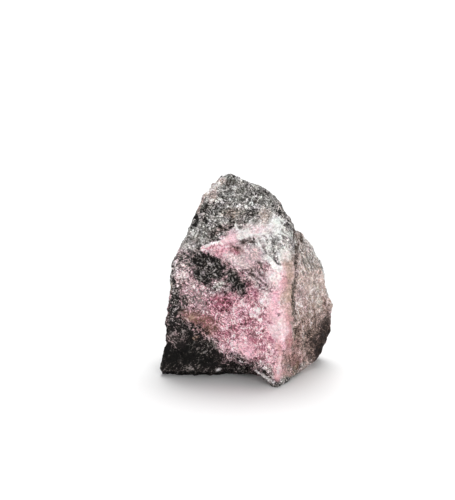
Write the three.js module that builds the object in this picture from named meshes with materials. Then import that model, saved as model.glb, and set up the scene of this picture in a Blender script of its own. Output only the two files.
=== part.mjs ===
import * as THREE from 'three';
import { mergeVertices } from 'three/addons/utils/BufferGeometryUtils.js';

// A piece of rough rhodonite: one broken block about 52 mm wide, 44 mm deep and 58 mm high.
// Millimetres, +Z up. It rests on its flat underside at z = 0, centred on the origin, and its
// broad front face looks toward -Y.
//
// The block is worked out from its heart, a point inside it. Flat fracture faces surround the
// heart, bites are broken out of the block they enclose, and relief roughens every face but the
// underside. A direction is an azimuth, 0 toward the front and positive toward +X, and a lift
// above the horizon, both in degrees. A reach is how far a flat face lies from the heart.

const heartHeight = 28;
const heart = new THREE.Vector3(-0.2, -1.5, heartHeight); // centres the block over the origin
const sphereDetail = 20; // each edge of the starting icosahedron is split into one more than this

// rough is the share of the relief that a face carries.
const fractureFaces = [
  { name: 'front', azimuth: -17, lift: 4, reach: 14.6, rough: 0.8 },
  { name: 'ridge', azimuth: 10, lift: 9, reach: 18.1, rough: 0.35 },
  { name: 'right', azimuth: 57, lift: -3, reach: 20.2, rough: 0.7 },
  { name: 'crown', azimuth: -17, lift: 45, reach: 17.8, rough: 1 },
  { name: 'roofRight', azimuth: 120, lift: 56, reach: 25.5, rough: 1 },
  { name: 'shoulderRight', azimuth: 98, lift: 36, reach: 20.9, rough: 1 },
  { name: 'sideRight', azimuth: 100, lift: 17, reach: 22.4, rough: 0.8 },
  { name: 'bellyRight', azimuth: 100, lift: -4, reach: 27.4, rough: 0.8 },
  { name: 'cheekRight', azimuth: 78, lift: -20, reach: 29, rough: 0.8 },
  { name: 'lowRight', azimuth: 80, lift: -40, reach: 32.6, rough: 0.8 },
  { name: 'toeRight', azimuth: 64, lift: -42, reach: 31.6, rough: 0.5 },
  { name: 'footLeft', azimuth: -98, lift: 5, reach: 21.5, rough: 1 },
  { name: 'sideLeft', azimuth: -100, lift: 11, reach: 22.6, rough: 1 },
  { name: 'slopeLeft', azimuth: -98, lift: 29, reach: 22, rough: 1 },
  { name: 'topLeft', azimuth: -75, lift: 50, reach: 27.2, rough: 1 },
  { name: 'peak', azimuth: -30, lift: 75, reach: 31.2, rough: 1 },
  { name: 'back', azimuth: 170, lift: 5, reach: 18.9, rough: 1 },
  { name: 'backLeft', azimuth: -142, lift: 9, reach: 19.6, rough: 1 },
  { name: 'backRight', azimuth: 130, lift: -5, reach: 25.8, rough: 1 },
  { name: 'backTop', azimuth: 178, lift: 46, reach: 26.2, rough: 1 },
  { name: 'underside', azimuth: 0, lift: -90, reach: heartHeight, rough: 0 },
];

// A bite takes away all that lies outside both of its faces, which leaves a ledge or a pocket.
const bites = [
  { // dark hollow under the front's left half, which leaves the toe standing
    name: 'undercut',
    floor: { azimuth: 2, lift: -45, reach: 26, rough: 0.9 },
    wall: { azimuth: -112, lift: -46, reach: 10.6, rough: 0.9 },
  },
  { // stepped pocket below the bright crest
    name: 'pocket',
    floor: { azimuth: -18, lift: 39.5, reach: 16.2, rough: 0.6 },
    wall: { azimuth: 8.6, lift: -8.8, reach: 5.7, rough: 0.4 },
  },
  { // hollow in the left side, above a flared foot
    name: 'flank',
    floor: { azimuth: -98, lift: -2, reach: 23, rough: 1 },
    wall: { azimuth: -98, lift: 30, reach: 10.6, rough: 1 },
  },
  { // step across the back
    name: 'backStep',
    floor: { azimuth: 158, lift: 12, reach: 16.6, rough: 1 },
    wall: { azimuth: -170, lift: 58, reach: 8, rough: 1 },
  },
];

// Broad lumps (positive) and dents (negative), each round a direction: spread is in degrees.
const swells = [
  { name: 'leftShoulder', azimuth: -85, lift: 66, spread: 9, height: 2.8 },
  { name: 'rightShoulder', azimuth: 150, lift: 75, spread: 8, height: 0.8 },
  { name: 'rightDent', azimuth: 104, lift: 58, spread: 8, height: -0.8 },
  { name: 'leftDent', azimuth: -85, lift: 22, spread: 9, height: -0.6 },
  { name: 'toe', azimuth: 26, lift: -50, spread: 8, height: 0.6 },
];

// Relief shared by all faces, then the finer relief that each face has to itself.
const broadScoops = { size: 9, depth: 1.7, seed: 3 };
const fineScoops = { size: 4.2, depth: 1, seed: 11 };
const scoopScatter = 0.7; // how far a scoop's middle strays in its cell, as a share of the cell
const scoopLevels = 0.4; // how much deeper some scoops are than others
const meanScoop = 0.25; // taken off, so that relief adds about as much as it removes
const reliefBand = 3; // faces this much farther out than the nearest one may still show, mm

const edgeProbes = 8; // directions tried round each vertex when looking for an edge
const snapShare = 0.4; // a vertex moves to an edge closer than this share of the vertex spacing

const stoneMaterial = new THREE.MeshStandardMaterial({ color: 0x8c6a70, roughness: 0.8, metalness: 0 });

function directionOf(azimuth, lift) {
  const turn = THREE.MathUtils.degToRad(azimuth);
  const rise = THREE.MathUtils.degToRad(lift);
  const level = Math.cos(rise);
  return new THREE.Vector3(Math.sin(turn) * level, -Math.cos(turn) * level, Math.sin(rise));
}

// A repeatable number from 0 to 1 for each whole-number cell.
function cellNumber(x, y, z, seed) {
  let mix = Math.imul(x, 374761393) ^ Math.imul(y, 668265263) ^ Math.imul(z, 1440662683);
  mix ^= Math.imul(seed, 1274126177);
  mix = Math.imul(mix ^ (mix >>> 15), 2246822519);
  mix = Math.imul(mix ^ (mix >>> 13), 3266489917);
  return ((mix ^ (mix >>> 16)) >>> 0) / 4294967296;
}

// Shallow tilted dishes that meet in sharp ridges: the lowest of the paraboloids that stand on
// one scattered point in each cubic cell around. About -0.3 in a dish to 0.5 on a ridge.
function scoopHeight(point, size, seed) {
  const px = point.x / size;
  const py = point.y / size;
  const pz = point.z / size;
  let lowest = Infinity;
  for (let x = Math.floor(px) - 1; x <= Math.floor(px) + 1; x++) {
    for (let y = Math.floor(py) - 1; y <= Math.floor(py) + 1; y++) {
      for (let z = Math.floor(pz) - 1; z <= Math.floor(pz) + 1; z++) {
        const draw = (channel) => cellNumber(x, y, z, seed + channel) - 0.5;
        const dx = px - x - 0.5 - scoopScatter * draw(1);
        const dy = py - y - 0.5 - scoopScatter * draw(2);
        const dz = pz - z - 0.5 - scoopScatter * draw(3);
        const tilt = dx * draw(4) + dy * draw(5) + dz * draw(6);
        lowest = Math.min(lowest, dx * dx + dy * dy + dz * dz + tilt + scoopLevels * draw(7));
      }
    }
  }
  return lowest - meanScoop;
}

function prepareFace(face, index) {
  return { ...face, normal: directionOf(face.azimuth, face.lift), seed: 100 * (index + 1) };
}

const blockFaces = fractureFaces.map(prepareFace);
const biteFaces = bites.map((bite, index) => ({
  floor: prepareFace(bite.floor, fractureFaces.length + 2 * index),
  wall: prepareFace(bite.wall, fractureFaces.length + 2 * index + 1),
}));
const lumps = swells.map((swell) => ({
  ...swell,
  centre: directionOf(swell.azimuth, swell.lift),
  radius: THREE.MathUtils.degToRad(swell.spread),
}));

function swellHeight(direction) {
  let height = 0;
  for (const lump of lumps) {
    const angle = direction.angleTo(lump.centre) / lump.radius;
    height += lump.height * Math.exp(-angle * angle);
  }
  return height;
}

// How far along the direction the surface lies, and the face that it lies on. offsetOf gives
// how far a face is raised there, from the face and its facing, the cosine of its angle.
function castOut(direction, offsetOf) {
  const cast = (face) => {
    const facing = face.normal.dot(direction);
    if (facing <= 0) return { face, offset: 0, distance: Infinity };
    const offset = offsetOf(face, facing);
    return { face, offset, distance: (face.reach + offset) / facing };
  };
  let nearest = { distance: Infinity };
  for (const face of blockFaces) {
    const hit = cast(face);
    if (hit.distance < nearest.distance) nearest = hit;
  }
  for (const bite of biteFaces) {
    const floor = cast(bite.floor);
    const wall = cast(bite.wall);
    const inner = floor.distance > wall.distance ? floor : wall;
    if (inner.distance < nearest.distance) nearest = inner;
  }
  return nearest;
}

// The rough surface along a direction.
function surfaceAlong(direction) {
  const plain = castOut(direction, () => 0);
  const point = direction.clone().multiplyScalar(plain.distance);
  const broad = broadScoops.depth * scoopHeight(point, broadScoops.size, broadScoops.seed);
  const shared = swellHeight(direction) + broad;
  return castOut(direction, (face, facing) => {
    if (face.rough === 0 || face.reach / facing > plain.distance + reliefBand) return 0;
    const own = fineScoops.depth * scoopHeight(point, fineScoops.size, fineScoops.seed + face.seed);
    return face.rough * (shared + own);
  });
}

// Moves a direction onto the nearest edge between two faces, where one is closer than limit
// (radians), so that edges run sharp and straight instead of in steps.
function snapToEdge(direction, limit) {
  const here = surfaceAlong(direction);
  const side = new THREE.Vector3().crossVectors(direction, new THREE.Vector3(0.3, 0.5, 0.8)).normalize();
  let best = direction;
  let shortest = limit;
  for (let i = 0; i < edgeProbes; i++) {
    const probe = direction.clone().addScaledVector(side, limit).normalize();
    side.applyAxisAngle(direction, (2 * Math.PI) / edgeProbes);
    const there = surfaceAlong(probe);
    if (there.face === here.face) continue;
    const across = here.face.normal.clone().divideScalar(here.face.reach + here.offset);
    across.addScaledVector(there.face.normal, -1 / (there.face.reach + there.offset));
    const gap = direction.dot(across) / across.lengthSq();
    const moved = direction.clone().addScaledVector(across, -gap).normalize();
    const shift = moved.angleTo(direction);
    if (shift < shortest) {
      shortest = shift;
      best = moved;
    }
  }
  return best;
}

function makeStone() {
  const geometry = new THREE.IcosahedronGeometry(1, sphereDetail);
  geometry.deleteAttribute('normal');
  geometry.deleteAttribute('uv');
  const ball = mergeVertices(geometry);
  const places = ball.getAttribute('position');
  const spacing = Math.sqrt((8 * Math.PI) / (Math.sqrt(3) * places.count)); // radians
  const direction = new THREE.Vector3();
  for (let i = 0; i < places.count; i++) {
    direction.fromBufferAttribute(places, i).normalize();
    const aimed = snapToEdge(direction.clone(), snapShare * spacing);
    const point = aimed.clone().multiplyScalar(surfaceAlong(aimed).distance).add(heart);
    places.setXYZ(i, point.x, point.y, Math.max(point.z, 0));
  }
  ball.computeVertexNormals();
  const stone = new THREE.Mesh(ball, stoneMaterial);
  stone.name = 'stone';
  return stone;
}

const group = new THREE.Group();
group.add(makeStone());

export default group;
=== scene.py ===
import math
import bpy
import numpy as np
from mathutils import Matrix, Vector


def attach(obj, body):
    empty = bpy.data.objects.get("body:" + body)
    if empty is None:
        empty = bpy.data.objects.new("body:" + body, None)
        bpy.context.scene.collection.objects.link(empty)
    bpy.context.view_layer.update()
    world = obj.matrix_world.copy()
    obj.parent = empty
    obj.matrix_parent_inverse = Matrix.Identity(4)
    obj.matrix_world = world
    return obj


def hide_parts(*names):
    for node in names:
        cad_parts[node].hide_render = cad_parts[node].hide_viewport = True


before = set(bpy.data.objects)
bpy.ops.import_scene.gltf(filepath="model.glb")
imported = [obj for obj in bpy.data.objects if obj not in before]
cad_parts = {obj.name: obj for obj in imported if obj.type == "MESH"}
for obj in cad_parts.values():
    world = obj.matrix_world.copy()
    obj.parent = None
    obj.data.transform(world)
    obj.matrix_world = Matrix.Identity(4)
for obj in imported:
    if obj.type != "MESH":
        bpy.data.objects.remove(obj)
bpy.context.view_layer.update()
mm = 0.001
print("frame loaded")

# The camera looks from straight in front and a little above, aimed a little above and to the left
# of the stone's middle.
camera = {
    "elevation": 15.0,  # degrees above the horizon
    "distance": 550.0,  # mm from the aim
    "aim": (-5.9, -1.5, 36.6),  # mm
    "frameHigh": 150.0,  # mm that the frame's height takes in at the aim
    "sensor": 36.0,  # height of the sensor, mm
}

# The block: flat fracture faces round a heart point. A face is its azimuth (0 to the front, growing
# toward +X), its lift above the horizon, both in degrees, its reach from the heart in mm, and the
# share of the relief that it carries.
block = {
    "heart": (-0.2, -1.5, 28.0),  # mm
    "gridSteps": 128,  # cells along each side of the six grids
    "coarseSteps": 32,  # the same for the grids that are evened out first
    "evenRounds": (260, 12),  # rounds of evening out for the coarse grids and for the full ones
    "evenGrip": 0.5,  # share of the way to its neighbours that a point goes in a round
    "faces": {
        "front": (-17, 4, 14.6, 0.8),
        "ridge": (10, 9, 18.1, 0.35),
        "right": (57, -3, 20.2, 0.7),
        "crown": (-17, 45, 17.8, 1),
        "roofRight": (120, 56, 25.5, 1),
        "shoulderRight": (98, 36, 20.9, 1),
        "sideRight": (100, 17, 22.4, 0.8),
        "bellyRight": (100, -4, 27.4, 0.8),
        "cheekRight": (78, -20, 29, 0.8),
        "lowRight": (80, -40, 32.6, 0.8),
        "toeRight": (64, -42, 31.6, 0.5),
        "footLeft": (-98, 5, 21.5, 1),
        "sideLeft": (-100, 11, 22.6, 1),
        "slopeLeft": (-98, 29, 22, 1),
        "topLeft": (-75, 50, 27.2, 1),
        "peak": (-30, 75, 31.2, 1),
        "back": (170, 5, 18.9, 1),
        "backLeft": (-142, 9, 19.6, 1),
        "backRight": (130, -5, 25.8, 1),
        "backTop": (178, 46, 26.2, 1),
        "underside": (0, -90, 28, 0),
    },
    # a bite takes away what lies outside both its floor and its wall
    "bites": {
        "undercut": ((2, -45, 26, 0.9), (-112, -46, 10.6, 0.9)),
        "pocket": ((-18, 39.5, 16.2, 0.6), (8.6, -8.8, 5.7, 0.4)),
        "flank": ((-98, -2, 23, 1), (-98, 30, 10.6, 1)),
        "backStep": ((158, 12, 16.6, 1), (-170, 58, 8, 1)),
    },
    # a lump or dent: azimuth, lift, spread in degrees, height in mm
    "swells": {
        "leftShoulder": (-85, 66, 9, 2.8),
        "rightShoulder": (150, 75, 8, 0.8),
        "rightDent": (104, 58, 8, -0.8),
        "leftDent": (-85, 22, 9, -0.6),
        "toe": (26, -50, 8, 0.6),
    },
    "reliefBand": 3.0,  # mm, how much farther out than the nearest a face may lie and still show
}

# Dished relief, coarse to fine: size of a dish and depth, mm, and a seed.
relief = {
    "broad": (9.0, 1.7, 3),
    "fine": (4.2, 1.0, 11),
    "crumb": (1.9, 0.55, 23),
    "grit": (0.85, 0.28, 37),
    "scatter": 0.7,  # how far a dish's middle strays in its cell, as a share of the cell
    "levels": 0.4,  # how much deeper some dishes are than others
    "mean": 0.25,  # taken off, so that relief adds about as much as it removes
    "paintedReliefShading": (0.3, 0.25),  # painted light and shade on the relief: how much paler the crests of crumbs and of grits are painted than their hollows
}

# Small forms on the front: a line through places on the front sheet (mm across and up from the
# camera's aim), its half width and its height, mm. Negative heights are grooves and pits. A place
# on the sheet is where the camera sees a point, as frontSheet works out.
smallForms = {
    "ridgeGroove": (
        ((20.8, 7), (20.7, -3), (21, -8), (20.3, -13), (20.9, -17), (20.2, -22), (20.9, -26)),
        0.55,
        -0.75,
    ),
    "crestLip": (((-7.6, 0.7), (-3, 2.0), (2, 3.6), (8, 4.8)), 0.6, 0.5),
    "noseHole": (((-8.2, -1.0), (-6.6, -1.2)), 0.8, -1.2),
    "spotA": (((4.6, 2.6), (5.2, 2.7)), 0.6, -0.7),
    "spotB": (((6.7, 3.2), (7.7, 3.0)), 0.6, -0.6),
    "whiteSlab": (((11.8, -2.4), (15.4, -5.4)), 1.3, 0.3),
    "slabLine": (((12.6, -1.4), (15.6, -4.0)), 0.35, -0.5),
    "flameTip": (((1.4, 6.4), (0.6, 4.6)), 0.6, 0.4),
    "baseCrack": (((-9.2, -32.6), (-5, -33.2), (1.5, -34.2), (6.6, -35.8)), 0.4, -0.8),
    "footGap": (((-18.6, -37.4), (-8, -37.6), (0, -37.6), (7.5, -37.8)), 0.6, -1.2),
    "leftNotch": (((-17.5, -28.5), (-13.5, -31.5)), 0.4, -0.45),
    "peachSwell": (((15.2, -20.5), (16, -25)), 1.6, 0.5),
}

# How the small forms run: the waves that bend their lines (reach and size in mm, and a seed), and
# how far ahead of the front sheet they fade in, mm.
formPath = {
    "waves": ((0.5, 2.2, 101),),
    "fadeIn": (-20, -14),
}

# What a patch of the stone is made of, as shares of black oxide, brown stain, grey, deep pink, tan,
# pale pink and white (the minerals listed below), then how hackly it is, how much it is drawn out in
# streaks, and how far its grains differ from their average.
recipes = {
    "crown": (0.21, 0.02, 0.56, 0.00, 0.02, 0.01, 0.18, 1.0, 0, 1),
    "crownPale": (0.10, 0.02, 0.52, 0.00, 0.03, 0.01, 0.32, 1.0, 0, 1),
    "crownDark": (0.55, 0.05, 0.32, 0.01, 0.01, 0.01, 0.05, 1.0, 0, 1),
    "plumDark": (0.48, 0.10, 0.26, 0.05, 0.03, 0.03, 0.05, 1.0, 0, 1),
    "lilacGrey": (0.24, 0.03, 0.42, 0.04, 0.04, 0.11, 0.12, 1.0, 0, 1),
    "cream": (0.08, 0.04, 0.30, 0.01, 0.22, 0.10, 0.25, 0.8, 0, 0.8),
    "tanGrey": (0.20, 0.12, 0.34, 0.01, 0.24, 0.01, 0.08, 0.9, 0, 0.9),
    "tanCream": (0.04, 0.04, 0.26, 0.00, 0.34, 0.06, 0.26, 0.6, 0.3, 0.85),
    "browWhite": (0.00, 0.00, 0.03, 0.00, 0.01, 0.02, 0.94, 0.5, 0.6, 0.65),
    "browStreak": (0.05, 0.01, 0.34, 0.01, 0.02, 0.07, 0.50, 0.5, 1, 1),
    "greyWhite": (0.08, 0.02, 0.44, 0.00, 0.05, 0.01, 0.40, 0.7, 0.6, 0.9),
    "rightGrey": (0.12, 0.03, 0.50, 0.00, 0.15, 0.03, 0.17, 0.9, 0.9, 0.75),
    "greyDark": (0.40, 0.04, 0.42, 0.00, 0.04, 0.01, 0.09, 0.9, 0.6, 1),
    "white": (0.00, 0.00, 0.05, 0.00, 0.02, 0.06, 0.87, 0.4, 0.2, 0.5),
    "pinkWhite": (0.00, 0.00, 0.05, 0.02, 0.03, 0.34, 0.56, 0.5, 0.3, 0.6),
    "rosePale": (0.02, 0.02, 0.06, 0.15, 0.04, 0.54, 0.17, 0.6, 0.2, 0.95),
    "roseClear": (0.00, 0.00, 0.01, 0.18, 0.03, 0.71, 0.07, 0.4, 0.2, 0.65),
    "roseMid": (0.07, 0.03, 0.05, 0.32, 0.03, 0.36, 0.14, 0.9, 0.2, 1),
    "roseDeep": (0.08, 0.05, 0.03, 0.52, 0.06, 0.23, 0.03, 0.7, 0, 0.95),
    "ruby": (0.05, 0.05, 0.00, 0.74, 0.04, 0.12, 0.00, 0.5, 0, 0.6),
    "magenta": (0.17, 0.05, 0.07, 0.49, 0.03, 0.15, 0.04, 0.8, 0, 1),
    "mauve": (0.08, 0.02, 0.37, 0.20, 0.02, 0.16, 0.15, 0.9, 0, 0.85),
    "mauvePink": (0.15, 0.03, 0.14, 0.24, 0.03, 0.24, 0.17, 0.9, 0.3, 1),
    "lilacPale": (0.02, 0.02, 0.26, 0.05, 0.04, 0.34, 0.27, 0.4, 0.4, 0.55),
    "lilacWhite": (0.20, 0.03, 0.22, 0.06, 0.03, 0.20, 0.26, 1.0, 0, 1),
    "oxide": (0.60, 0.04, 0.29, 0.01, 0.00, 0.01, 0.05, 1.2, 0, 1),
    "oxideDeep": (0.94, 0.02, 0.03, 0.00, 0.00, 0.00, 0.01, 1.0, 0, 0.75),
    "oxideSoft": (0.72, 0.04, 0.20, 0.02, 0.01, 0.00, 0.01, 1.0, 0, 0.95),
    "oxideSpeck": (0.66, 0.10, 0.16, 0.03, 0.02, 0.01, 0.02, 1.1, 0, 0.85),
    # painted shade: dark flecked grey for the front's left edge, which lies in shade
    "paintedEdgeShade": (0.64, 0.04, 0.22, 0.02, 0.00, 0.01, 0.07, 1.1, 0, 0.95),
    "oxideWhite": (0.50, 0.04, 0.14, 0.06, 0.02, 0.10, 0.14, 1.1, 0.9, 1),
    "orangeStain": (0.08, 0.36, 0.12, 0.20, 0.16, 0.07, 0.01, 0.9, 0, 0.9),
    "ochre": (0.02, 0.35, 0.05, 0.04, 0.52, 0.01, 0.01, 0.6, 0, 0.5),
    "redBrown": (0.18, 0.40, 0.04, 0.30, 0.05, 0.03, 0.00, 0.7, 0, 0.8),
    "ridgeCream": (0.00, 0.01, 0.05, 0.04, 0.27, 0.30, 0.33, 0.3, 0.3, 0.6),
    "peachWhite": (0.00, 0.00, 0.00, 0.02, 0.08, 0.50, 0.40, 0.2, 0, 0.4),
    "ridgeTan": (0.01, 0.06, 0.16, 0.02, 0.58, 0.10, 0.07, 0.3, 0.3, 0.5),
    "tanPink": (0.02, 0.04, 0.18, 0.03, 0.38, 0.13, 0.22, 0.9, 0.9, 0.8),
    "tanMauve": (0.04, 0.05, 0.27, 0.07, 0.26, 0.15, 0.16, 0.9, 0.9, 0.75),
    "salmon": (0.00, 0.01, 0.01, 0.24, 0.32, 0.42, 0.00, 0.5, 0.2, 0.45),
    "flameRose": (0.00, 0.00, 0.02, 0.03, 0.00, 0.70, 0.25, 0.4, 0.3, 0.4),
    "salmonDeep": (0.00, 0.06, 0.02, 0.42, 0.36, 0.14, 0.00, 0.5, 0, 0.6),
    "brownMix": (0.20, 0.22, 0.22, 0.05, 0.24, 0.04, 0.03, 0.9, 0.4, 0.9),
    "brownRose": (0.14, 0.24, 0.14, 0.18, 0.20, 0.08, 0.02, 0.8, 0.3, 0.8),
    "grooveDark": (0.46, 0.20, 0.26, 0.00, 0.06, 0.00, 0.02, 0.8, 0.3, 1),
    # painted shade: near black, for where the right face turns away from the light
    "paintedShadeRollOff": (0.86, 0.08, 0.04, 0.01, 0.01, 0.00, 0.00, 0.8, 0.3, 0.6),
    "plumGrey": (0.36, 0.07, 0.36, 0.08, 0.02, 0.05, 0.06, 1.0, 0, 0.95),
    "rustRed": (0.10, 0.34, 0.06, 0.34, 0.10, 0.05, 0.01, 0.8, 0, 0.8),
    "brown": (0.20, 0.58, 0.10, 0.00, 0.12, 0.00, 0.00, 0.7, 0.2, 0.7),
}

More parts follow.
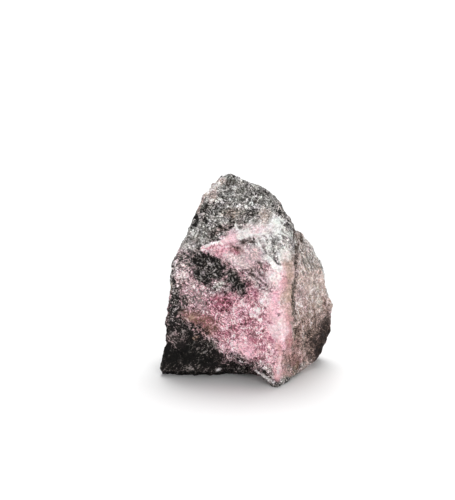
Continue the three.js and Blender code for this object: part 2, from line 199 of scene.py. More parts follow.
# Patches painted over the front in this order: recipe, middle (mm across and up from the aim),
# half width, half height, turn in degrees, and how fully it covers.
patches = (
    # the front below the crest, the right face and the ridge between them
    ("mauvePink", (0, -20), 20, 21, 0, 1),
    ("roseMid", (5, -22), 11, 11, 0, 1),
    ("tanPink", (27, -14), 9, 22, 0, 1),
    ("ridgeCream", (16.5, -8), 3.8, 6, 0, 1),
    ("roseClear", (15.5, -20), 3.4, 14, 0, 1),
    # crown
    ("crownPale", (2, 19.4), 7, 3, -12, 0.8),
    ("crownDark", (-7.2, 10.2), 2.6, 3, 20, 0.8),
    ("crownDark", (-4.5, 13.6), 1.6, 1.2, 0, 0.7),
    ("crownDark", (6.8, 10.6), 2, 1.4, 30, 0.8),
    ("crownDark", (4.3, 8.3), 1.1, 1, 0, 0.9),
    ("plumDark", (-1.2, 6.3), 4.2, 1.3, 22, 0.9),
    ("crownDark", (-4.3, 3.2), 0.9, 0.9, 0, 0.9),
    ("cream", (-5.6, 17.4), 1.9, 2.4, 20, 1),
    ("tanGrey", (1.6, 10.9), 2.6, 1.4, 0, 0.9),
    ("crownPale", (-8.6, 4.4), 3, 2, -20, 0.9),
    ("crownPale", (-5.4, 9.9), 1.4, 1, 0, 0.8),
    ("crownPale", (8.8, 13.6), 2, 1.4, -30, 0.8),
    ("lilacGrey", (-12.6, -1.8), 4.5, 4, 0, 1),
    ("greyWhite", (-11.4, 1), 2.2, 1.4, 0, 0.8),
    # brow, down to the ridge
    ("greyWhite", (16.5, 5), 4, 7, 30, 1),
    ("browWhite", (13, 6.8), 4.2, 3.2, 10, 1),
    ("greyDark", (17, 11), 2.8, 5, 35, 0.85),
    ("tanCream", (10.8, 9.8), 1.5, 2.2, -10, 0.9),
    ("browStreak", (11.6, 1.2), 5.4, 4, -20, 1),
    ("greyWhite", (16.4, 1.4), 3, 3, 0, 1),
    ("browWhite", (17.4, -1.6), 2, 2, 0, 0.9),
    ("pinkWhite", (6.8, 5.6), 4.6, 1.8, 8, 1),
    ("white", (5.6, 5.6), 2, 0.9, 12, 0.9),
    # pocket below the crest
    ("rosePale", (0.5, 0.6), 5, 2.2, 8, 1),
    ("roseClear", (-1.4, -0.3), 2, 1.4, 0, 0.9),
    ("lilacPale", (7, -0.8), 3.6, 3.4, -30, 1),
    ("lilacPale", (3, -3.2), 4.2, 1.9, -18, 1),
    ("pinkWhite", (1.4, -2.2), 2.4, 0.8, -18, 0.7),
    ("redBrown", (2.7, 0.3), 1.9, 1.2, -10, 0.8),
    ("plumDark", (2.5, 0.9), 1.6, 0.5, -18, 0.7),
    ("greyDark", (7.4, 3.2), 1.5, 1.2, 0, 0.7),
    ("roseDeep", (2.5, -0.6), 1.2, 0.6, 0, 0.7),
    ("oxideSpeck", (4.9, 2.9), 1.1, 0.8, 0, 1),
    ("oxideSpeck", (7.3, 3), 1, 0.7, -10, 1),
    # painted shade: a dark spot in the hollow under the nose's overhang
    ("plumDark", (-7.2, -0.8), 1.1, 0.6, -10, 1),
    ("flameRose", (2, 3.7), 1.5, 1.7, 10, 1),
    ("oxide", (-3.6, -2.9), 2.6, 0.7, -22, 0.9),
    # black band across the middle
    ("oxide", (-7.2, -5), 3.3, 4.6, 10, 1),
    ("oxide", (-4, -6), 3.4, 2.4, -30, 1),
    ("oxideWhite", (8.2, -8.4), 4, 2.4, -55, 0.8),
    ("oxide", (2.3, -10.2), 5.2, 2.4, -50, 1),
    ("oxide", (0.6, -12.2), 1.6, 1, -20, 0.8),
    ("oxideWhite", (-3.2, -11.2), 3.2, 1.6, -15, 0.9),
    ("oxideSoft", (3, -8.8), 2.4, 1.4, -50, 0.6),
    ("plumDark", (9, -3.7), 1.3, 0.45, -15, 0.8),
    ("greyWhite", (-2.6, -10.4), 1.7, 0.9, 15, 0.9),
    ("lilacWhite", (-6, -12.2), 1.6, 1, 0, 0.9),
    # left side of the front
    ("lilacWhite", (-13.8, -8.2), 3.2, 3.2, 0, 1),
    ("pinkWhite", (-13.6, -7.8), 1.9, 1.6, 0, 0.4),
    ("lilacGrey", (-12.6, -5.6), 1.5, 1, 0, 0.6),
    ("mauve", (-9.6, -14.6), 4.6, 3.2, -10, 1),
    ("plumGrey", (-11.4, -15), 1.8, 1.2, 0, 0.35),
    ("lilacGrey", (-10.4, -10.8), 1.8, 1.3, 0, 0.8),
    ("plumGrey", (-13.4, -17.2), 2.6, 2.6, 0, 0.95),
    ("magenta", (-1.8, -16), 4, 2.8, -15, 0.9),
    ("roseDeep", (-1.6, -15.6), 1.8, 1.3, 0, 0.6),
    ("rosePale", (4.4, -17), 2, 2.2, 0, 0.9),
    ("magenta", (7.2, -14), 1.6, 1.8, 0, 0.8),
    ("pinkWhite", (11.3, -14.6), 1.7, 2.6, 10, 0.9),
    ("pinkWhite", (12.4, -8), 1.5, 2.8, 10, 0.9),
    ("rosePale", (0.4, -20.4), 2.8, 2, 0, 0.9),
    ("magenta", (5, -21), 2.2, 1.8, 0, 0.5),
    ("rosePale", (8.6, -23.6), 1.8, 2.6, 0, 0.8),
    ("pinkWhite", (8.6, -18.6), 1.6, 1.4, 0, 0.6),
    ("orangeStain", (-10.6, -20.6), 4.2, 1.8, -8, 1),
    ("orangeStain", (-6.4, -23.2), 5, 2.6, -32, 0.9),
    ("rustRed", (-12.8, -20.5), 1.3, 0.8, -10, 0.7),
    ("rustRed", (-5.4, -21.2), 1.4, 1, -20, 0.7),
    ("rustRed", (-7.4, -23), 1.5, 0.7, -20, 0.6),
    ("ochre", (-10.8, -20.3), 1.1, 0.8, 0, 0.8),
    ("magenta", (-1.2, -25.1), 1.7, 1.1, 0, 0.8),
    # black foot on the left
    ("plumGrey", (-14.6, -22.6), 3.6, 2.8, -20, 1),
    ("oxideSoft", (-13.4, -30), 13, 7.8, -27, 0.8),
    ("oxideDeep", (-14, -31.8), 11.6, 7.4, -25, 1),
    ("oxideSoft", (-5.6, -29.2), 3.2, 2.4, -10, 0.9),
    ("plumGrey", (-15.4, -26.8), 2.2, 2, 0, 0.6),
    ("lilacWhite", (-4.6, -26.8), 1.6, 0.7, -30, 0.7),
    ("ochre", (-9.6, -26.3), 0.8, 0.5, 0, 0.35),
    # bright pink foot and its rim
    ("rosePale", (5.4, -29.6), 6.4, 2.8, -8, 1),
    ("roseClear", (6.4, -30), 3, 2.2, 0, 0.9),
    ("roseMid", (11, -30.8), 3, 2.6, 0, 0.3),
    ("ruby", (7.7, -27.5), 1.4, 0.7, -30, 0.9),
    ("ruby", (12.9, -26.6), 1.5, 0.9, -15, 0.7),
    ("roseDeep", (10.6, -30.2), 1.2, 1, 0, 0.7),
    ("magenta", (9, -32.4), 1.1, 0.8, 0, 0.8),
    ("oxideSoft", (1.8, -31.8), 2.4, 1, -10, 0.8),
    ("oxideWhite", (2.6, -32.2), 3, 1.2, -15, 0.8),
    ("oxideSpeck", (3.8, -32.4), 1.6, 0.7, -20, 0.7),
    ("oxideWhite", (4.6, -34.4), 3.2, 1.3, -22, 1),
    ("lilacWhite", (10.6, -35), 2, 1.3, -25, 0.9),
    ("oxideSpeck", (8.2, -35), 1.2, 0.7, -20, 0.7),
    ("oxide", (11.8, -37), 1.4, 0.9, -40, 0.9),
    ("oxideSoft", (-6, -36.6), 15, 2.2, -1, 1),
    ("oxideSoft", (4, -36.4), 5, 2, -12, 1),
    ("white", (-2.6, -35.8), 0.6, 0.4, 20, 0.9),
    ("lilacWhite", (14.4, -38.2), 3, 1.8, 30, 0.9),
    ("oxideSoft", (11.4, -37.2), 1.3, 0.8, -40, 0.8),
    ("ridgeTan", (18, -37.6), 1.6, 0.9, 30, 0.7),
    # ridge
    ("white", (13.8, -8.2), 1.7, 1.6, -30, 0.7),
    ("roseClear", (14.4, -13.6), 1.6, 4, 0, 1),
    ("salmon", (12.7, -19), 0.9, 2.2, 0, 0.7),
    ("roseMid", (12.2, -23.4), 1.2, 3, 0, 0.6),
    ("pinkWhite", (14, -10.4), 1.3, 1.8, 0, 0.9),
    ("flameRose", (13.8, -17), 1.2, 2.2, 0, 0.6),
    ("ridgeTan", (18.4, -11), 1.8, 9, 3, 1),
    ("tanGrey", (17.9, -10.4), 0.8, 1.6, 0, 0.4),
    ("tanGrey", (19.2, -3.4), 0.6, 2.4, 0, 0.6),
    ("salmon", (17, -10), 0.9, 2, 0, 0.7),
    ("ridgeCream", (16.4, -15.4), 1, 2.4, 0, 0.8),
    ("salmon", (18.4, -22.4), 1.2, 4.6, 5, 0.7),
    ("peachWhite", (16.7, -19.2), 1.2, 1.8, 0, 0.7),
    ("peachWhite", (15.6, -23.4), 2.3, 3.6, 8, 1),
    ("oxide", (15.2, -19.3), 0.3, 0.3, 0, 0.8),
    # right face
    ("rightGrey", (24, -1), 3.6, 5.8, 20, 0.9),
    ("tanMauve", (22.6, -15), 2.2, 5, 0, 0.8),
    ("mauve", (21.9, -13.4), 1.1, 1.8, 0, 0.6),
    ("tanCream", (26.4, -12.6), 2, 4, 12, 0.5),
    ("brownMix", (24.6, -25.4), 4.4, 5.6, 0, 0.75),
    ("brownMix", (18.2, -32.2), 2.2, 2.8, 0, 1),
    ("brownRose", (21, -32.6), 2.6, 1.5, 15, 0.9),
    ("salmon", (17.6, -36.4), 1.8, 1.5, 25, 0.8),
    ("tanGrey", (19.6, -36.2), 2, 1.5, 25, 0.7),
    ("salmonDeep", (18.8, -27.4), 1.2, 2.2, 0, 1),
    ("salmon", (18.4, -30.8), 1.1, 1.6, 0, 0.7),
    ("brown", (20.8, -35), 0.9, 1.5, 0, 1),
    ("brown", (21.2, 4), 0.8, 2, 0, 0.4),
    # painted shade: the right face is painted darker toward its lower right edge, where it turns away from
    # the light, over its own brown
    ("brownMix", (27.6, -26), 5.4, 8.6, -20, 0.5),
    ("paintedShadeRollOff", (30.4, -26.4), 6, 8.6, -20, 0.35),
    ("paintedShadeRollOff", (31, -26), 5.2, 7.6, -20, 0.5),
    ("paintedShadeRollOff", (32, -26), 4.6, 6.8, -20, 0.9),
    ("paintedShadeRollOff", (27.4, -30.2), 4, 4.4, -40, 0.5),
    ("paintedShadeRollOff", (29, -32), 2.8, 3, -40, 0.8),
    ("oxideSpeck", (15, -40.4), 1, 0.6, 0, 0.35),
)

# Bands painted after the patches: recipe, places along the band, half width, and cover.
bands = (
    ("rosePale", ((-7.2, 0), (-4, 0.5), (0, 1.8)), 0.9, 1),
    ("roseMid", ((-7.4, 0.1), (-5, 0.4)), 0.5, 0.6),
    # a white line along the crest, partly the crest's own pale edge and partly painted highlight
    ("white", ((-6, 0.8), (-3.4, 1.5), (-1.4, 2.2)), 0.4, 1),
    ("flameRose", ((-1, 2.3), (1.6, 3)), 0.5, 1),
    # a white line along the crest, partly the crest's own pale edge and partly painted highlight
    ("white", ((3.2, 3.5), (5.6, 4.3), (8.6, 4.7), (11.6, 5)), 0.4, 1),
    ("white", ((2.3, 7.6), (3.6, 5.6)), 0.4, 0.9),
    # a white slab, partly its own white and partly painted highlight along its edge
    ("white", ((11.8, -2.2), (15.4, -5.4)), 1.0, 1),
    # painted shadow: a thin dark line beside the white slab
    ("greyDark", ((12.6, -1.6), (15.4, -4.2)), 0.35, 0.9),
    ("white", ((8.8, 3.6), (9.6, 1.4), (10.8, -0.6)), 0.3, 0.9),
    ("greyDark", ((9.7, 2.8), (10.4, 0.8), (11.8, -1.2)), 0.25, 0.6),
    ("white", ((10.4, 3.8), (11.4, 2), (12.8, 0.2)), 0.3, 0.9),
    ("white", ((11.8, 4.4), (12.8, 2.4), (13.2, 1)), 0.3, 0.9),
    ("greyDark", ((13.8, 3.2), (13.7, 0.4), (14.2, -1)), 0.4, 0.6),
    ("oxideSpeck", ((6.8, -7), (8.6, -8.3), (10.6, -9.7)), 0.35, 0.9),
    ("oxideSpeck", ((9.1, -6.1), (9.7, -7.6)), 0.3, 0.9),
    ("oxideSpeck", ((5.4, -6), (7.2, -6.2)), 0.3, 0.9),
    ("oxideSpeck", ((9.6, -4.2), (10.2, -5.3)), 0.3, 0.9),
    ("lilacPale", ((7.8, -6.4), (9.8, -8.3), (11.4, -9.8)), 0.25, 0.9),
    ("lilacPale", ((5.8, -7.6), (7.6, -9.2), (8.8, -10.8)), 0.3, 0.8),
    ("cream", ((-6.6, 17.4), (-8.2, 13.6), (-8.8, 11.6)), 0.45, 0.9),
    ("tanCream", ((-6.8, 17.2), (-4.4, 19.2), (-1.6, 21.4)), 0.8, 0.8),
    ("white", ((-6.2, 17.4), (-4, 19.2), (-2.4, 20.4)), 0.4, 0.7),
    # painted shade: a dark strip down the front's left edge, where shade falls on it
    ("paintedEdgeShade", ((-17.2, -8), (-16, -13), (-16.4, -20)), 1.9, 1),
    ("tanGrey", ((-17.2, -9), (-17, -12)), 0.5, 0.6),
    ("greyWhite", ((-16.9, -7.4), (-17.2, -9.6)), 0.5, 0.7),
    ("salmon", ((15.2, -29), (15.7, -33), (15.2, -36), (14.8, -38.9)), 1.0, 1),
    ("rosePale", ((14.4, -30), (14.6, -36)), 0.8, 0.8),
    # painted highlight: a pale line down the ridge's lower edge
    ("peachWhite", ((16, -31.8), (15.6, -35), (14.9, -38)), 0.5, 0.6),
    ("salmon", ((18, -19.4), (18.5, -22.4), (18.8, -26)), 0.5, 0.7),
    ("grooveDark", ((21.2, 2), (20.8, -3), (20.9, -8)), 0.45, 0.7),
    ("grooveDark", ((20.6, -9), (19.9, -12), (20, -15), (20.4, -19)), 0.8, 0.9),
    ("grooveDark", ((20.2, -19), (20.1, -23), (21.1, -26.6)), 0.6, 0.7),
    ("grooveDark", ((20.3, 6), (20.1, 2.6)), 0.4, 0.9),
    ("grooveDark", ((22.2, 6), (22.2, 2.2)), 0.35, 0.8),
    ("cream", ((19.3, -21.6), (19.9, -26)), 0.3, 0.7),
    ("tanCream", ((26, -9.6), (27, -12.6), (27.6, -15)), 0.4, 0.8),
    ("tanCream", ((27, -14.8), (28.2, -18)), 0.35, 0.8),
    ("tanCream", ((24.6, -18.6), (25.2, -23)), 0.35, 0.6),
    ("tanCream", ((22.6, -22.4), (23, -26.6)), 0.3, 0.6),
    ("brownMix", ((28.6, -14.6), (29.2, -18.6)), 0.6, 0.8),
    ("brownMix", ((23.4, -15.6), (24, -19.6)), 0.4, 0.6),
    ("brownMix", ((25.8, -16.6), (26.6, -21)), 0.4, 0.6),
    ("brownMix", ((22, -18.4), (22.4, -23)), 0.4, 0.6),
    ("brownRose", ((21.4, -27.4), (20.6, -31), (19.6, -34)), 0.7, 0.8),
    # painted highlight: a pale line along the right rim
    ("greyWhite", ((24.4, 2.4), (26.4, -1), (28.1, -4), (29.3, -8), (30.4, -14)), 0.4, 0.9),
    ("cream", ((21.4, -36.4), (24, -35), (26.6, -34.3)), 0.4, 0.9),
    # painted highlight: a white line along the toe's lower left edge
    ("white", ((8.4, -36.2), (12, -38.5), (14, -40)), 0.35, 0.8),
    # painted shadow: a black band along the front's foot, for the dark gap between the stone and the floor
    ("oxideDeep", ((-20, -37.6), (-8, -37.8), (6, -37.6)), 0.7, 1),
)

# Mineral zones that run right through the stone and show on its sides and back:
# recipe, size of the zones in mm, seed, and the level of noise round which they appear.
zones = (
    ("tanCream", 19, 5, 0.2),
    ("roseMid", 15, 17, 0.05),
    ("lilacWhite", 9, 29, 0.3),
    ("oxide", 13, 41, 0.12),
    ("rosePale", 7, 53, 0.42),
    ("oxideSpeck", 6, 67, 0.4),
)

# How the edges of zones, patches and bands wander and soften. A wave is its reach and size in mm,
# and a seed.
edges = {
    "waves": ((1.5, 6.0, 71), (1.3, 2.4, 81), (0.9, 1.1, 91), (0.5, 0.6, 95)),
    "patchShare": 0.3,  # share of the waves that a patch follows, for each mm of its smaller half
    "bandShare": 0.35,  # the same for a band
    "patchSoft": 1.2,  # half the width of a patch's soft edge, mm
    "patchMost": 0.8,  # the most of a patch that its soft edge takes
    "bandFade": (0.5, 1.5),  # where a band fades out, in half widths from its line
    "zoneWaves": ((1, 1, 0), (0.45, 0.4, 1), (0.25, 0.15, 2)),  # reach, share of the size, more seed
    "zoneFade": (-0.12, 0.18),  # where a zone fades in, from its level
    "frontWaves": ((4, 7, 61), (3, 2.6, 63)),
    "frontFade": (-16, -10),  # where the front's paint fades in, mm ahead of the front sheet
}

# Colours of the seven minerals, from dark to light, as they would be painted (sRGB, 0 to 255).
minerals = {
    "oxideBlack": (10, 9, 9),
    "stainBrown": (112, 82, 66),
    "graniteGrey": (127, 126, 123),
    "deepRose": (170, 83, 110),
    "crustTan": (190, 160, 138),
    "paleRose": (245, 194, 206),
    "quartzWhite": (244, 243, 241),
}


def linearColour(colour):
    # the sRGB curve undone for each channel: a straight line in the darks, a power above them
    channels = []
    for value in colour:
        part = value / 255
        channels.append(part / 12.92 if part <= 0.04045 else ((part + 0.055) / 1.055) ** 2.4)
    return channels + [1.0]


def directionsOf(azimuth, lift):
    # unit vectors from degrees: azimuth 0 is -Y and grows toward +X, lift rises from the horizon
    turn, rise = np.radians(azimuth), np.radians(lift)
    level = np.cos(rise)
    return np.stack([np.sin(turn) * level, -np.cos(turn) * level, np.sin(rise)], -1)


def cellKeys(x, y, z):
    # each whole-number cell's indices times three odd numbers, folded together in 32 bits
    factors = np.array([374761393, 668265263, 1440662683], np.uint32)
    parts = [axis.astype(np.int64).astype(np.uint32) * factor for axis, factor in zip((x, y, z), factors)]
    return parts[0] ^ parts[1] ^ parts[2]


def cellDraw(keys, seed):
    # a repeatable number from -0.5 to 0.5 for each cell: the key and the seed are shuffled
    mix = keys ^ np.uint32(seed * 1274126177 & 0xFFFFFFFF)
    mix = (mix ^ (mix >> np.uint32(15))) * np.uint32(2246822519)
    mix = (mix ^ (mix >> np.uint32(13))) * np.uint32(3266489917)
    return (mix ^ (mix >> np.uint32(16))) / 4294967296.0 - 0.5


def scoopHeight(points, size, seed):
    # the lowest of the tilted paraboloids that stand on one scattered point in each cell around:
    # shallow dishes that meet in sharp ridges
    place = points / size
    home = np.floor(place)
    lowest = np.full(len(points), np.inf)
    for step in np.ndindex(3, 3, 3):
        cell = home + np.array(step) - 1
        keys = cellKeys(*cell.T)
        gap = place - cell - 0.5
        tilt = 0.0
        for axis in range(3):
            gap[:, axis] -= relief["scatter"] * cellDraw(keys, seed + 1 + axis)
        for axis in range(3):
            tilt = tilt + gap[:, axis] * cellDraw(keys, seed + 4 + axis)
        height = (gap * gap).sum(1) + tilt + relief["levels"] * cellDraw(keys, seed + 7)
        lowest = np.minimum(lowest, height)
    return lowest - relief["mean"]


def smoothNoise(points, size, seed):
    # random values at the corners of a cubic grid, blended by the smoothstep of the distance: -1 to 1
    place = points / size
    home = np.floor(place)
    part = place - home
    part = part * part * (3 - 2 * part)
    total = np.zeros(len(points))
    for step in np.ndindex(2, 2, 2):
        weight = np.prod(np.where(step, part, 1 - part), axis=1)
        total += weight * cellDraw(cellKeys(*(home + np.array(step)).T), seed)
    return 2 * total


def waveSum(points, waves, moreSeed=0):
    # each wave's reach times its smooth noise, added up
    return sum(reach * smoothNoise(points, size, seed + moreSeed) for reach, size, seed in waves)


def smoothStep(low, high, values):
    # 0 below low, 1 above high and a smooth rise between them
    part = np.clip((values - low) / (high - low), 0, 1)
    return part * part * (3 - 2 * part)


# all faces in one list: the block's own, then each bite's floor and wall
faceRows = list(block["faces"].values())
biteStart = len(faceRows)
for floorFace, wallFace in block["bites"].values():
    faceRows += [floorFace, wallFace]
faceRows = np.array(faceRows, float)
faceNormals = directionsOf(faceRows[:, 0], faceRows[:, 1])
faceReach, faceRough = faceRows[:, 2], faceRows[:, 3]
faceCount = len(faceRows)


def castOut(directions, offsets=0.0):
    # a ray from the heart meets a face at (reach + offset) / cosine; the surface is the nearest of
    # them, and where a bite is nearer than that, the farther of its floor and its wall
    facing = directions @ faceNormals.T
    with np.errstate(divide="ignore", invalid="ignore"):
        distances = np.where(facing > 0, (faceReach + offsets) / facing, np.inf)
    bites = np.maximum(distances[:, biteStart::2], distances[:, biteStart + 1::2])
    nearest = np.minimum(distances[:, :biteStart].min(1), bites.min(1))
    return nearest, distances


def cubeGrids(steps):
    # six grids of two parameters, one for each side of a cube, and for each the cube's own
    # whole-number corner coordinates, by which shared edge points are merged
    ticks = np.arange(steps + 1)
    first, second = np.meshgrid(ticks, ticks, indexing="ij")
    grids = []
    for axis in range(3):
        for side in (0, steps):
            corner = np.zeros(first.shape + (3,), int)
            corner[..., axis] = side
            corner[..., (axis + 1) % 3] = first
            corner[..., (axis + 2) % 3] = second
            if side == 0:
                corner = corner.transpose(1, 0, 2)  # keeps the cells turning the same way outside
            grids.append(corner)
    return np.array(grids)


def sphereMesh(steps):
    # the cube grids' merged points blown out to a sphere, and the four corners of each cell
    grids = cubeGrids(steps)
    flat = grids.reshape(-1, 3)
    keys = (flat[:, 0] * (steps + 1) + flat[:, 1]) * (steps + 1) + flat[:, 2]
    _, first, index = np.unique(keys, return_index=True, return_inverse=True)
    index = index.reshape(grids.shape[:3])
    quads = np.stack([index[:, :-1, :-1], index[:, 1:, :-1], index[:, 1:, 1:], index[:, :-1, 1:]], -1)
    return flat[first], index, quads.reshape(-1, 4)


def unit(vectors):
    # each vector divided by its own length
    return vectors / np.linalg.norm(vectors, axis=-1, keepdims=True)


def evenOut(directions, quads, rounds, grip):
    # each point moves toward its neighbours, the more the farther they are, and back onto the
    # plain block, which evens out the cells' sizes on its surface
    links = np.concatenate([quads[:, [0, 1]], quads[:, [1, 2]]])
    for _ in range(rounds):
        points = directions * castOut(directions)[0][:, None]
        span = points[links[:, 1]] - points[links[:, 0]]
        pull = span * (span * span).sum(1, keepdims=True)
        weight = (span * span).sum(1)
        count = len(points)
        total = np.bincount(links[:, 0], weight, count) + np.bincount(links[:, 1], weight, count)
        move = np.stack([
            np.bincount(links[:, 0], pull[:, axis], count) - np.bincount(links[:, 1], pull[:, axis], count)
            for axis in range(3)
        ], 1)
        directions = unit(points + grip * move / total[:, None])
    return directions


def makeDirections():
    # a coarse sphere is evened out first, then its grids are filled in to the full number of steps
    coarse, fine = block["coarseSteps"], block["gridSteps"]
    corners, index, quads = sphereMesh(coarse)
    directions = unit(np.tan((corners / coarse - 0.5) * math.pi / 2))
    coarseRounds, fineRounds = block["evenRounds"]
    directions = evenOut(directions, quads, coarseRounds, block["evenGrip"])
    fineCorners, fineIndex, fineQuads = sphereMesh(fine)
    result = np.zeros((len(fineCorners), 3))
    place = np.arange(fine + 1) * coarse / fine
    low = np.minimum(place.astype(int), coarse - 1)
    part = place - low
    for side in range(6):
        grid = directions[index[side]]
        rows = grid[low] * (1 - part)[:, None, None] + grid[low + 1] * part[:, None, None]
        cells = rows[:, low] * (1 - part)[None, :, None] + rows[:, low + 1] * part[None, :, None]
        result[fineIndex[side]] = cells
    return evenOut(unit(result), fineQuads, fineRounds, block["evenGrip"]), fineQuads


def frontSheet(points):
    # where points, in mm, fall on a sheet that faces the camera at its aim: their offset across and
    # up, scaled by the camera's distance over their own; and how far ahead of the sheet they lie
    rise = math.radians(camera["elevation"])
    toward = np.array([0, -math.cos(rise), math.sin(rise)])
    upward = np.array([0, math.sin(rise), math.cos(rise)])
    offset = points - np.array(camera["aim"])
    ahead = offset @ toward
    scale = camera["distance"] / (camera["distance"] - ahead)
    return np.stack([offset[:, 0] * scale, (offset @ upward) * scale], 1), ahead


def lineGap(places, line):
    # the distance from each place to the nearest stretch of a line: to the foot of its upright on
    # each stretch, kept between the stretch's ends
    gap = np.full(len(places), np.inf)
    for start, end in zip(line[:-1], line[1:]):
        start, end = np.array(start, float), np.array(end, float)
        span = end - start
        along = np.clip((places - start) @ span / (span @ span), 0, 1)
        gap = np.minimum(gap, np.linalg.norm(places - start - along[:, None] * span, axis=1))
    return gap


def paintMinerals(points):
    # starts from the grey crown's recipe, lays the zones that run through the stone, and then the
    # front's patches and bands, each blended in by how far a point is inside its soft, uneven edge.
    # A patch is an oval: its edge is where the turned offset over its half sizes has length one.
    mix = np.tile(np.array(recipes["crown"], float), (len(points), 1))

    def cover(name, amount):
        mix[:] += (np.array(recipes[name], float) - mix) * amount[:, None]

    fadeLow, fadeHigh = edges["zoneFade"]
    for name, size, seed, level in zones:
        waves = [(reach, size * share, seed + more) for reach, share, more in edges["zoneWaves"]]
        cover(name, smoothStep(level + fadeLow, level + fadeHigh, waveSum(points, waves)))
    places, ahead = frontSheet(points)
    drift = np.stack([waveSum(points, edges["waves"], axis) for axis in range(2)], 1)
    front = smoothStep(*edges["frontFade"], ahead + waveSum(points, edges["frontWaves"]))
    cover("crown", front)
    for name, middle, wide, high, turn, amount in patches:
        angle = math.radians(turn)
        small = min(wide, high)
        offset = places + drift * min(1, edges["patchShare"] * small) - np.array(middle, float)
        across = (offset[:, 0] * math.cos(angle) + offset[:, 1] * math.sin(angle)) / wide
        up = (offset[:, 1] * math.cos(angle) - offset[:, 0] * math.sin(angle)) / high
        soft = min(edges["patchMost"], edges["patchSoft"] / small)
        inside = 1 - smoothStep(1 - soft, 1 + soft, np.hypot(across, up))
        cover(name, amount * front * inside)
    fadeLow, fadeHigh = edges["bandFade"]
    for name, line, half, amount in bands:
        gap = lineGap(places + drift * min(1, edges["bandShare"] * half), line)
        inside = 1 - smoothStep(half * fadeLow, half * fadeHigh, gap)
        cover(name, amount * front * inside)
    return mix


def swellHeight(directions):
    # a bell curve of the angle from each swell's middle
    height = np.zeros(len(directions))
    for azimuth, lift, spread, rise in block["swells"].values():
        cosine = np.clip(directions @ directionsOf(azimuth, lift), -1, 1)
        height += rise * np.exp(-((np.arccos(cosine) / math.radians(spread)) ** 2))
    return height


def smallFormHeight(points):
    # a bell curve of the distance from each small form's bent line, on the front side only
    places, ahead = frontSheet(points)
    for axis in range(2):
        places[:, axis] += waveSum(points, formPath["waves"], axis)
    front = smoothStep(*formPath["fadeIn"], ahead)
    height = np.zeros(len(points))
    for line, half, rise in smallForms.values():
        height += rise * np.exp(-((lineGap(places, line) / half) ** 2))
    return height * front


def raiseFaces(directions):
    # how far each face is raised along each direction: the swells and broad dishes that all share
    # and its own fine dishes, times its share of the relief. near tells the faces that may show.
    plain, distances = castOut(directions)
    inner = directions * plain[:, None]
    size, depth, seed = relief["broad"]
    shared = swellHeight(directions) + depth * scoopHeight(inner, size, seed)
    size, depth, seed = relief["fine"]
    offsets = np.zeros((len(directions), faceCount))
    near = (distances <= plain[:, None] + block["reliefBand"]) & (faceRough > 0)
    for number in range(faceCount):
        close = near[:, number]
        own = depth * scoopHeight(inner[close], size, seed + 100 * (number + 1))
        offsets[close, number] = faceRough[number] * (shared[close] + own)
    return offsets, near


def storeMinerals(mesh, mix, paintedReliefShading):
    # what the material reads at each point: the mean colour, each mineral's share times its own; the
    # steps between minerals, the sums of their shares; and the streaks, the relief's painted shading and
    # the contrast
    tones = np.array([linearColour(colour) for colour in minerals.values()])
    layer = mesh.attributes.new("meanTint", "FLOAT_COLOR", "POINT")
    layer.data.foreach_set("color", (mix[:, :7] @ tones).astype(np.float32).ravel())
    # the steps are spread out from the middle, so that a mineral with no share never shows through
    # a soft step
    steps = (np.cumsum(mix[:, :6], 1) - 0.5) * (1 + grainLook["softness"]) + 0.5
    for name, values in (("lowSteps", steps[:, :3]), ("highSteps", steps[:, 3:])):
        layer = mesh.attributes.new(name, "FLOAT_VECTOR", "POINT")
        layer.data.foreach_set("vector", np.ascontiguousarray(values, np.float32).ravel())
    # the middle value of habit is painted light and shade: the relief's crests paler, its hollows darker
    habit = np.stack([mix[:, 8], paintedReliefShading, mix[:, 9]], 1)
    layer = mesh.attributes.new("habit", "FLOAT_VECTOR", "POINT")
    layer.data.foreach_set("vector", np.ascontiguousarray(habit, np.float32).ravel())


def makeStone():
    # the heart plus each direction times the distance to the nearest raised face
    directions, quads = makeDirections()
    print("stone grid evened out,", len(directions), "points")
    heart = np.array(block["heart"])
    offsets, near = raiseFaces(directions)
    outer = directions * castOut(directions, offsets)[0][:, None]
    print("fracture faces cut")
    # crumbs and grits are added once the minerals, which say how hackly the stone is, are laid out
    mix = paintMinerals(outer + heart)
    hackly = mix[:, 7]
    crumbSize, crumbDepth, crumbSeed = relief["crumb"]
    gritSize, gritDepth, gritSeed = relief["grit"]
    crumbs = scoopHeight(outer, crumbSize, crumbSeed)
    grits = scoopHeight(outer, gritSize, gritSeed)
    detail = (crumbDepth * crumbs + gritDepth * grits) * hackly + smallFormHeight(outer + heart)
    reach = castOut(directions, offsets + near * detail[:, None])[0]
    points = directions * reach[:, None] + heart
    points[:, 2] = np.maximum(points[:, 2], 0)  # the underside stays flat on the floor
    print("minerals laid out")
    mesh = bpy.data.meshes.new("rhodoniteStone")
    mesh.from_pydata((points * mm).tolist(), [], quads.tolist())
    mesh.update()
    mesh.shade_smooth()
    # painted light and shade on the relief: its crests are painted paler and its hollows darker
    crumbShare, gritShare = relief["paintedReliefShading"]
    storeMinerals(mesh, mix, (crumbShare * crumbs + gritShare * grits) * hackly)
    piece = bpy.data.objects.new("rhodoniteStone", mesh)
    bpy.context.scene.collection.objects.link(piece)
    print("stone mesh made,", len(mesh.polygons), "cells")
    return piece


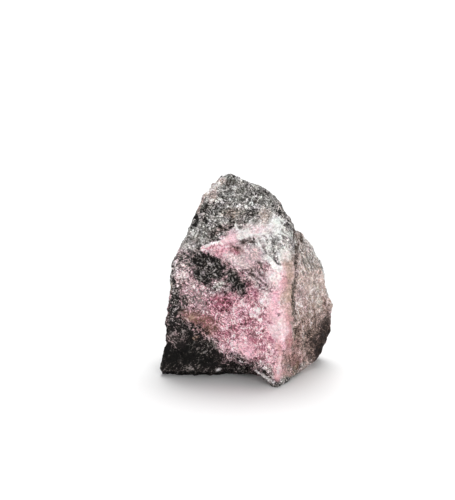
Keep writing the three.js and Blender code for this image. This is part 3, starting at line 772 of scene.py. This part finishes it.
# Grain of the minerals, all sizes in mm. A noise is its size, octaves and roughness.
grainLook = {
    "warp": (1.5, 2, 0.55),
    "warpReach": 1.0,  # how far the warp moves the grains
    "grain": 0.62,
    "fleck": 0.3,  # specks inside the grains
    "clump": (1.8, 5, 0.95),  # where grains of like tone gather
    "crystal": 1.8,  # each crystal is split into thin leaves that lie its own way
    "leaf": (0.4, 2, 0.8),
    "leafLength": 9.0,  # times its thickness
    "leafBend": 0.7,  # how far the warp moves the leaves
    "streakAcross": (0.85, 0.14, 0.51),  # the leaves' facing where the stone is drawn out in streaks
    "streakHold": 0.85,  # how far a full streak overrules each crystal's own facing
    "streakMore": 1.5,  # how much more the leaves count in a full streak
    # grain, fleck, clump, leaf, crystal and crystal's middle in the choice of mineral
    "shares": (0.14, 0.44, 1.3, 2.0, 0.2, 0.25),
    "middleLift": 0.32,  # brings the mean distance to a crystal's border up to about one half
    "range": 0.38,  # the choice runs from the darkest mineral to the lightest between minus and plus this
    "softness": 0.19,  # width of the blend from one mineral to the next
    "contrast": 0.95,  # how far grains differ from the mean colour, times the recipe's own contrast
    "hue": (2.2, 3, 0.7),
    "hueDrift": 0.2,  # how far each colour channel wanders
    "shade": 0.6,  # how much each grain's own brightness varies
    "dust": (0.35, 3, 0.55),
    "dustShade": 1.7,  # how much the dust varies the brightness
    "toneHold": 0.8,  # how much of the brightness a recipe's contrast sets
    "facetTilt": 0.65,  # how far a grain tips the surface
    "bump": 0.2,  # depth
    "bumpStrength": 0.8,
    "swell": (0.9, 4, 0.55),  # the bump's own noise
    "dustHeight": 0.7,  # how much of the dust is added to it
    "bumpHold": 0.9,  # how much of the bump a recipe's contrast sets
    "roughness": (0.35, 0.45),  # of the glossiest grain, and how much duller the dullest is
    "specular": 0.06,
}


def makeMineralMaterial():
    # one number for each spot, mixed from grains, flecks, clumps and leaves, picks the mineral whose
    # steps it falls between; the same noises then shade, tilt and gloss the grains
    material = bpy.data.materials.new("rhodoniteGrain")
    material.use_nodes = True
    tree = material.node_tree
    nodes, links = tree.nodes, tree.links
    shader = nodes["Principled BSDF"]

    def add(kind, **settings):
        made = nodes.new(kind)
        for key, value in settings.items():
            setattr(made, key, value)
        return made

    def feed(value, socket):
        if isinstance(value, bpy.types.NodeSocket):
            links.new(value, socket)
        else:
            socket.default_value = value

    def maths(operation, first, second=0.0, clamp=False):
        made = add("ShaderNodeMath", operation=operation, use_clamp=clamp)
        feed(first, made.inputs[0])
        feed(second, made.inputs[1])
        return made.outputs[0]

    def vectors(operation, first, second=None):
        made = add("ShaderNodeVectorMath", operation=operation)
        feed(first, made.inputs[0])
        if operation == "SCALE":
            feed(second, made.inputs["Scale"])
        elif second is not None:
            feed(second, made.inputs[1])
        return made.outputs["Value" if operation == "DOT_PRODUCT" else "Vector"]

    def noise(place, look):
        size, octaves, roughness = look
        made = add("ShaderNodeTexNoise")
        feed(place, made.inputs["Vector"])
        made.inputs["Scale"].default_value = 1 / (size * mm)
        made.inputs["Detail"].default_value = octaves
        made.inputs["Roughness"].default_value = roughness
        return made.outputs

    def cells(place, size, feature="F1"):
        made = add("ShaderNodeTexVoronoi", feature=feature)
        feed(place, made.inputs["Vector"])
        made.inputs["Scale"].default_value = 1 / (size * mm)
        return made.outputs

    def attribute(name):
        return add("ShaderNodeAttribute", attribute_name=name).outputs

    def split(vector):
        made = add("ShaderNodeSeparateXYZ")
        feed(vector, made.inputs[0])
        return made.outputs

    def centred(colour):
        # channels from 0 to 1 moved to run from -0.5 to 0.5
        return vectors("SUBTRACT", colour, (0.5, 0.5, 0.5))

    def swing(value, reach):
        # the same for one value, times its reach
        return maths("MULTIPLY", maths("SUBTRACT", value, 0.5), reach)

    def held(share):
        # the recipe's contrast for a share of the whole, and the rest in full
        return maths("ADD", maths("MULTIPLY", contrast, share), 1 - share)

    place = add("ShaderNodeTexCoord").outputs["Object"]
    warp = centred(noise(place, grainLook["warp"])["Color"])
    bent = vectors("ADD", place, vectors("SCALE", warp, grainLook["warpReach"] * mm))
    grain = cells(bent, grainLook["grain"])["Color"]
    fleck = cells(bent, grainLook["fleck"])["Color"]
    clump = noise(place, grainLook["clump"])["Fac"]
    streakShare, paintedReliefShading, contrast = split(attribute("habit")["Vector"])

    # leaves: noise squeezed flat along a facing, which each crystal draws for itself
    crystal = cells(bent, grainLook["crystal"])["Color"]
    ownShare = maths("SUBTRACT", 1.0, maths("MULTIPLY", streakShare, grainLook["streakHold"]))
    ownFacing = vectors("SCALE", centred(crystal), ownShare)
    across = vectors("ADD", ownFacing, vectors("SCALE", grainLook["streakAcross"], streakShare))
    across = vectors("NORMALIZE", across)
    swayed = vectors("ADD", place, vectors("SCALE", warp, grainLook["leafBend"] * mm))
    along = vectors("DOT_PRODUCT", swayed, across)
    flat = maths("MULTIPLY", along, 1 - 1 / grainLook["leafLength"])
    thinned = vectors("SCALE", swayed, 1 / grainLook["leafLength"])
    thinned = vectors("ADD", thinned, vectors("SCALE", across, flat))
    leaves = noise(thinned, grainLook["leaf"])["Fac"]

    # how dark or light a mineral this spot takes, spread evenly from 0 to 1
    border = cells(bent, grainLook["crystal"], "DISTANCE_TO_EDGE")["Distance"]
    middle = maths("ADD", border, grainLook["middleLift"])
    draws = (split(grain)[0], split(fleck)[0], clump, leaves, split(crystal)[2], middle)
    # painted light and shade: the relief's crests pick lighter minerals and its hollows darker ones
    pick = paintedReliefShading
    for draw, share in zip(draws, grainLook["shares"]):
        pick = maths("ADD", pick, swing(draw, share))
    streaks = maths("MULTIPLY", swing(leaves, grainLook["streakMore"]), streakShare)
    pick = maths("ADD", pick, streaks)
    spread = add("ShaderNodeMapRange", interpolation_type="SMOOTHSTEP")
    feed(pick, spread.inputs["Value"])
    spread.inputs["From Min"].default_value = -grainLook["range"]
    spread.inputs["From Max"].default_value = grainLook["range"]
    level = spread.outputs["Result"]

    # from dark to light, each next mineral takes over above its step
    steps = list(split(attribute("lowSteps")["Vector"])) + list(split(attribute("highSteps")["Vector"]))
    tones = np.array([linearColour(colour)[:3] for colour in minerals.values()])
    colour = tones[0].tolist()
    for step, change in zip(steps, np.diff(tones, axis=0)):
        above = maths("DIVIDE", maths("SUBTRACT", level, step), grainLook["softness"])
        above = maths("ADD", above, 0.5, clamp=True)
        colour = vectors("ADD", colour, vectors("SCALE", change.tolist(), above))

    # grains differ from the recipe's mean colour as far as its contrast says
    blend = add("ShaderNodeMix", data_type="RGBA")
    feed(maths("MULTIPLY", contrast, grainLook["contrast"]), blend.inputs["Factor"])
    feed(attribute("meanTint")["Color"], blend.inputs[6])
    feed(colour, blend.inputs[7])
    colour = blend.outputs[2]

    # the hue wanders slightly warmer and cooler
    wander = vectors("SCALE", centred(noise(place, grainLook["hue"])["Color"]), grainLook["hueDrift"])
    colour = vectors("MULTIPLY", colour, vectors("ADD", wander, (1, 1, 1)))

    # fine unevenness of each grain's own colour
    dust = noise(place, grainLook["dust"])["Fac"]
    shade = swing(split(grain)[1], grainLook["shade"])
    tone = maths("ADD", swing(dust, grainLook["dustShade"]), shade)
    tone = maths("MULTIPLY", tone, held(grainLook["toneHold"]))
    colour = vectors("SCALE", colour, maths("ADD", tone, 1.0))
    feed(colour, shader.inputs["Base Color"])

    # cleavage facets: every grain tips the surface its own way
    normal = add("ShaderNodeNewGeometry").outputs["Normal"]
    tips = vectors("ADD", centred(grain), centred(fleck))
    tips = vectors("SCALE", tips, maths("MULTIPLY", contrast, grainLook["facetTilt"]))
    tipped = vectors("NORMALIZE", vectors("ADD", normal, tips))
    height = maths("MULTIPLY", dust, grainLook["dustHeight"])
    height = maths("ADD", height, noise(place, grainLook["swell"])["Fac"])
    bump = add("ShaderNodeBump")
    bump.inputs["Strength"].default_value = grainLook["bumpStrength"]
    bump.inputs["Distance"].default_value = grainLook["bump"] * mm
    feed(maths("MULTIPLY", height, held(grainLook["bumpHold"])), bump.inputs["Height"])
    feed(tipped, bump.inputs["Normal"])
    feed(bump.outputs["Normal"], shader.inputs["Normal"])

    # some grains are glossy, most are dull
    glossiest, duller = grainLook["roughness"]
    roughness = maths("ADD", maths("MULTIPLY", split(fleck)[1], duller), glossiest)
    feed(roughness, shader.inputs["Roughness"])
    shader.inputs["Specular IOR Level"].default_value = grainLook["specular"]
    return material


floorLook = {
    "half": 2.6,  # m from its middle to each side
    "tone": (0.93, 0.93, 0.93, 1),
    "roughness": 0.7,
    "specular": 0.2,
}


def makeFloor():
    # one wide flat square under the stone, pale and plain
    half = floorLook["half"]
    mesh = bpy.data.meshes.new("paleFloor")
    corners = [(-half, -half, 0), (half, -half, 0), (half, half, 0), (-half, half, 0)]
    mesh.from_pydata(corners, [], [(0, 1, 2, 3)])
    material = bpy.data.materials.new("paleFloor")
    material.use_nodes = True
    shader = material.node_tree.nodes["Principled BSDF"]
    shader.inputs["Base Color"].default_value = floorLook["tone"]
    shader.inputs["Roughness"].default_value = floorLook["roughness"]
    shader.inputs["Specular IOR Level"].default_value = floorLook["specular"]
    mesh.materials.append(material)
    floor = bpy.data.objects.new("paleFloor", mesh)
    bpy.context.scene.collection.objects.link(floor)


# Broad soft lamps: the direction they shine from (azimuth and lift, degrees, azimuth 0 to the
# front), their spread in degrees and their strength. The world adds its even light all round.
lights = {
    "topLight": (170, 62, 45, 2.5),
    "frontFill": (14, 14, 50, 1.48),
}
worldStrength = 0.4


def aimAt(item, target):
    # turned so that its own -Z runs along the line to the target
    item.rotation_euler = (Vector(target) - item.location).to_track_quat("-Z", "Y").to_euler()


def makeLights():
    # suns aimed at the origin along their directions, and a white world
    for name, (azimuth, lift, spread, strength) in lights.items():
        lamp = bpy.data.lights.new(name, "SUN")
        lamp.angle = math.radians(spread)
        lamp.energy = strength
        item = bpy.data.objects.new(name, lamp)
        item.location = Vector(directionsOf(azimuth, lift))
        bpy.context.scene.collection.objects.link(item)
        aimAt(item, (0, 0, 0))
    world = bpy.data.worlds.new("studio")
    world.use_nodes = True
    world.node_tree.nodes["Background"].inputs["Color"].default_value = (1, 1, 1, 1)
    world.node_tree.nodes["Background"].inputs["Strength"].default_value = worldStrength
    bpy.context.scene.world = world


def makeCamera():
    # the lens that fits frameHigh at the aim: sensor height times distance over frameHigh
    lens = bpy.data.cameras.new("camera")
    lens.sensor_fit = "VERTICAL"
    lens.sensor_height = camera["sensor"]
    lens.lens = camera["sensor"] * camera["distance"] / camera["frameHigh"]
    item = bpy.data.objects.new("camera", lens)
    rise = math.radians(camera["elevation"])
    aim = Vector(camera["aim"]) * mm
    item.location = aim + Vector((0, -math.cos(rise), math.sin(rise))) * camera["distance"] * mm
    bpy.context.scene.collection.objects.link(item)
    aimAt(item, aim)
    bpy.context.scene.camera = item


makeCamera()
makeFloor()
makeLights()
print("camera, floor and lights set")
stone = makeStone()
stone.data.materials.append(makeMineralMaterial())
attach(stone, "root")
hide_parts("stone")
bpy.context.scene.view_settings.view_transform = "Standard"
print("stone finished")
